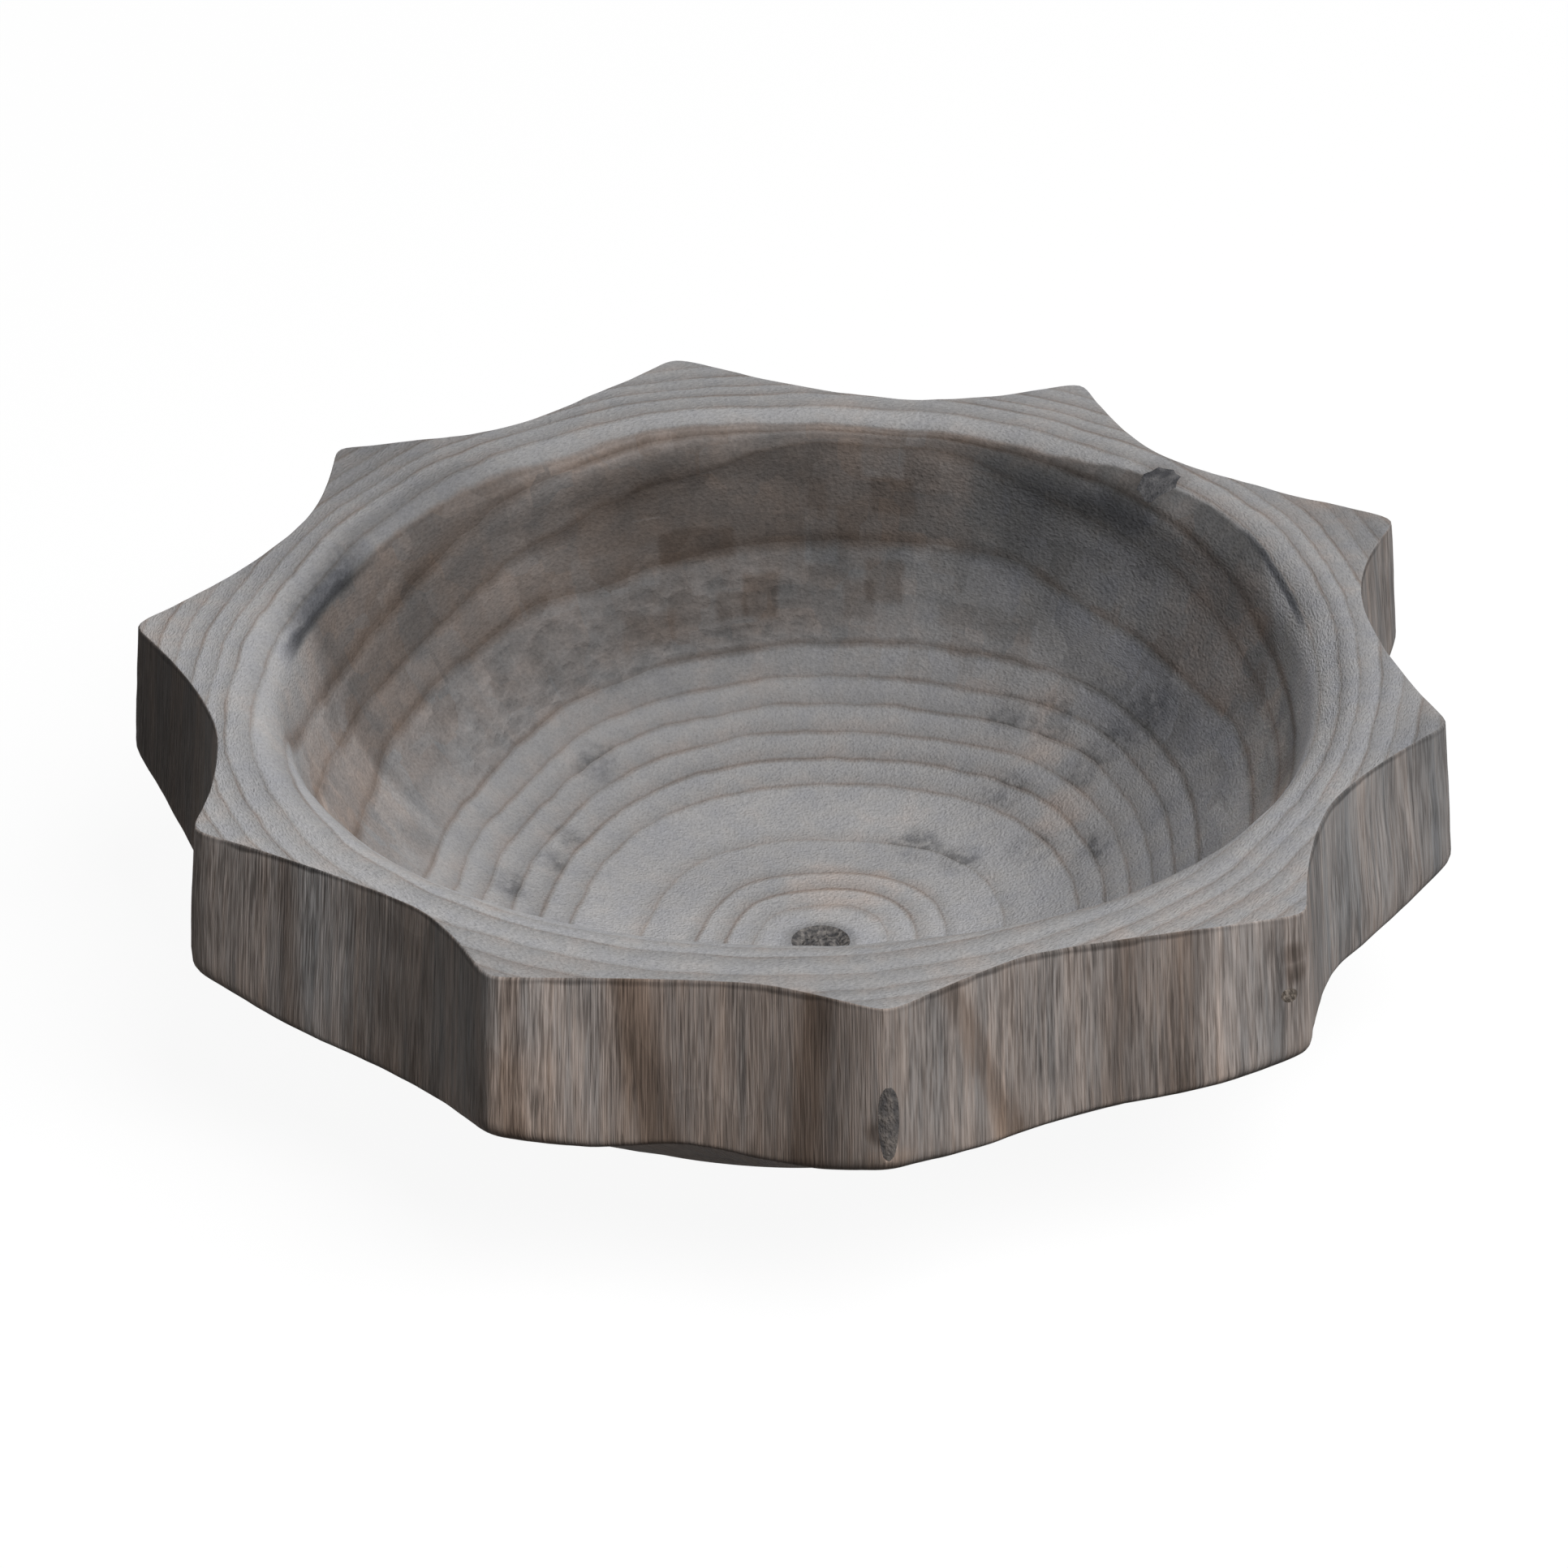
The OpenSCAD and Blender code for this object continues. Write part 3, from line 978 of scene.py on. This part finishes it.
def lip_marks(wood):
    """The blue stain along the lip, and the dark fuzz below it."""
    smear, within = wood.smear, wood.within
    off_line = abs(within)
    bloom = (within + smear * 1.8).rise(-8, -0.5) * within.rise(2.5, 0.5)
    blue = (off_line + smear * 0.4).rise(2.8, 0.4) * wood.part("blue line") * 0.95
    blue = blue.most(bloom * wood.part("blue bloom") * 0.75)
    blue = blue.most(off_line.rise(1.4, 0.3) * wood.part("blue right line") * 0.85)
    fuzz = (within + smear * 1.5).rise(0, 4) * wood.reach.rise(151, 152.5) * wood.part("fuzz") * 0.42
    fuzz = fuzz.most((within + smear).rise(7, 1) * within.rise(-1, 1) * wood.part("right fuzz") * 0.55)
    return blue * wood.z.rise(96, 99) * wood.inside, fuzz * wood.z.rise(88, 95)


def marked(wood, wall, tone, warm):
    """Lightness and warmth with the marks that the log and its use have left."""
    z, smear, inside = wood.z, wood.smear, wood.inside
    blue, fuzz = lip_marks(wood)
    haze = wood.part("haze") * z.between(58, 76, 96, 106) * inside
    dark = wood.near(SMUDGES, 0.5) * smear.rise(-0.7, 0.5, 0.2, 1) * (1.05 - wood.share * 0.7) * inside
    blocks = wood.boxes(BLOCKS) * wall
    pink = wood.near(PINK_SPOTS, 0.6)
    stain = wood.near(STAINS, 0.6) * inside
    knotty = wood.near(KNOT_SHADES, 0.6) * wood.side
    pale = wood.near(KNOT_EYES, 0.3) * wood.side
    pith = ((wood.x - PITH_X) ** 2 + (wood.y - PITH_Y) ** 2 + TINY) ** 0.5
    halo = (pith + wood.wave * 3).rise(22, 10) * z.rise(*FLOOR_END)
    soil = (pith + smear).rise(13.5, 9) * z.rise(*FLOOR_END)
    tone = tone * (1 - dark * 0.48) * (1 + blocks) * (1 - haze * 0.24) * (1 + pink * 0.1)
    tone = tone * (1 - knotty * 0.5) * (1 + pale * 0.45) * (1 - stain * 0.26)
    tone = tone * (1 - fuzz * 0.72) * (1 - soil * 0.32) * (1 - halo * 0.05)
    warm = warm - dark * 0.2 - blocks * 1.3 - haze * 0.75 - halo * 0.15 - fuzz * 0.2 - blue * 0.6
    warm = warm + pink * 0.4 + knotty * 0.3
    return blue.blend(tone, tone * 0.18), warm


def finest_grain(wood, wall):
    """A soft nap on cut ends and thin pores down the side: as a gain, as relief, and the nap alone."""
    even = wood.place.texture("nap")
    combed = wood.combed.texture("combed nap")
    nap = wood.radius.rise(90, 130).blend(even, combed)
    fuzz = wood.place.texture("fuzz")
    chatter = wood.combed.texture("chatter") * wood.reach.between(124, 126, 138, 142)
    chatter = chatter * wood.part("chatter") * wood.inside
    pore = wood.grain.texture("pores")
    pores = pore.rise(0.4, 1)
    end_gain = 1 + nap * 0.13 + fuzz * wall.blend(0.06, 0.12) + chatter * 0.2
    end_relief = nap * wall.blend(0.16, 0.09) + fuzz * 0.08 + chatter * 0.55
    gain = wood.side.blend(end_gain, 1 - pores * 0.35)
    relief = wood.side.blend(end_relief, pore * 0.1 - pores * 0.15)
    return gain, relief, nap


def carved_wood():
    material, place, normal = new_material("carved_wood")
    wood = Wood(place, normal)
    end_tone, end_warm, wall = end_grain(wood)
    side_tone, side_warm = long_grain(wood)
    # Faces turned down get painted shade, as the underside gets little light
    tone = wood.side.blend(end_tone, side_tone) * (1 - wood.under * UNDER_SHADE)
    warm = wood.side.blend(end_warm, side_warm)
    tone, warm = marked(wood, wall, tone, warm)
    gain, relief, nap = finest_grain(wood, wall)
    colour = warm.rise(COOLEST, PLAINEST, 0, 1, "LINEAR").tint(COOL, PLAIN)
    colour = warm.rise(PLAINEST, WARMEST, 0, 1, "LINEAR").tint(colour, WARM)
    rough = wood.side.blend(END_ROUGH, SIDE_ROUGH) + nap * NAP_ROUGH
    finish_material(colour.scaled(tone * gain), rough, relief)
    return material


def filling(name):
    """Dark filler or dead wood, paler in flakes."""
    dark, pale, spread = FILLINGS[name]
    material, place, _ = new_material(name)
    flake = place.noise((spread, spread, spread * 2), 3, 21).rise(-0.6, 0.9)
    nap = place.texture("filling nap")
    colour = flake.tint(dark, pale).scaled(1 + nap * 0.16)
    finish_material(colour, FILLING_ROUGH + nap * NAP_ROUGH, nap * 0.16 + flake * 0.2)
    return material


def camera_light(tree, plain, seen):
    """A strength that is seen by the camera and in reflections, and another that lights the object."""
    rays = ("Is Camera Ray", "Is Glossy Ray", "Is Transmission Ray")
    ways = [add_node(tree, "ShaderNodeLightPath", {}, {}, ray) for ray in rays]
    return reduce(Signal.most, ways).blend(plain, seen)


def pale_floor():
    """A white floor that keeps the object's shadow."""
    deselect_all()
    bpy.ops.mesh.primitive_plane_add(size=FLOOR_SIZE)
    floor = new_piece("floor")
    material = bpy.data.materials.new("pale_floor")
    material.use_nodes = True
    tree = material.node_tree
    tree.nodes.clear()
    lit = add_node(tree, "ShaderNodeBsdfDiffuse", {}, {"Color": (FLOOR_GREY, FLOOR_GREY, FLOOR_GREY, 1)})
    glow = add_node(tree, "ShaderNodeEmission", {}, {"Strength": camera_light(tree, 0, FLOOR_WHITE)})
    both = add_node(tree, "ShaderNodeAddShader", {}, {0: lit, 1: glow})
    add_node(tree, "ShaderNodeOutputMaterial", {}, {"Surface": both})
    floor.data.materials.append(material)


def white_world():
    world = bpy.data.worlds.new("studio")
    bpy.context.scene.world = world
    world.use_nodes = True
    tree = world.node_tree
    tree.nodes.clear()
    strength = camera_light(tree, SKY, 1)
    sky = add_node(tree, "ShaderNodeBackground", {}, {"Color": (1, 1, 1, 1), "Strength": strength})
    add_node(tree, "ShaderNodeOutputWorld", {}, {"Surface": sky})


def dress(piece, material, node):
    """Smooth faces, its material, and its place in the assembly."""
    make_active(piece)
    bpy.ops.object.shade_smooth_by_angle(angle=math.radians(SMOOTH_ANGLE))
    piece.data.materials.clear()
    piece.data.materials.append(material)
    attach(piece, "root")
    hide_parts(node)


add_camera()
pale_floor()
white_world()
add_lamp("key", KEY_FROM, KEY_POWER)
add_lamp("fill", FILL_FROM, FILL_POWER)

body = carved_body()
patch = let_in(body, patch_form)
knot = let_in(body, knot_form)
pin = let_in(body, pin_form)
for form in (patch_form, knot_form, pin_form):
    combine(body, form(0), "DIFFERENCE")
combine(body, plug_form(0, PATCH_OVER), "DIFFERENCE")
plug = pith_plug()

dress(body, carved_wood(), "bowl")
dress(plug, filling("pith_filling"), "pith_plug")
dress(patch, filling("dark_filling"), "rim_patch")
dress(knot, filling("dead_knot"), "point_knot")
dress(pin, filling("pin_knot"), "pin_knot")
bpy.context.scene.view_settings.view_transform = "Standard"
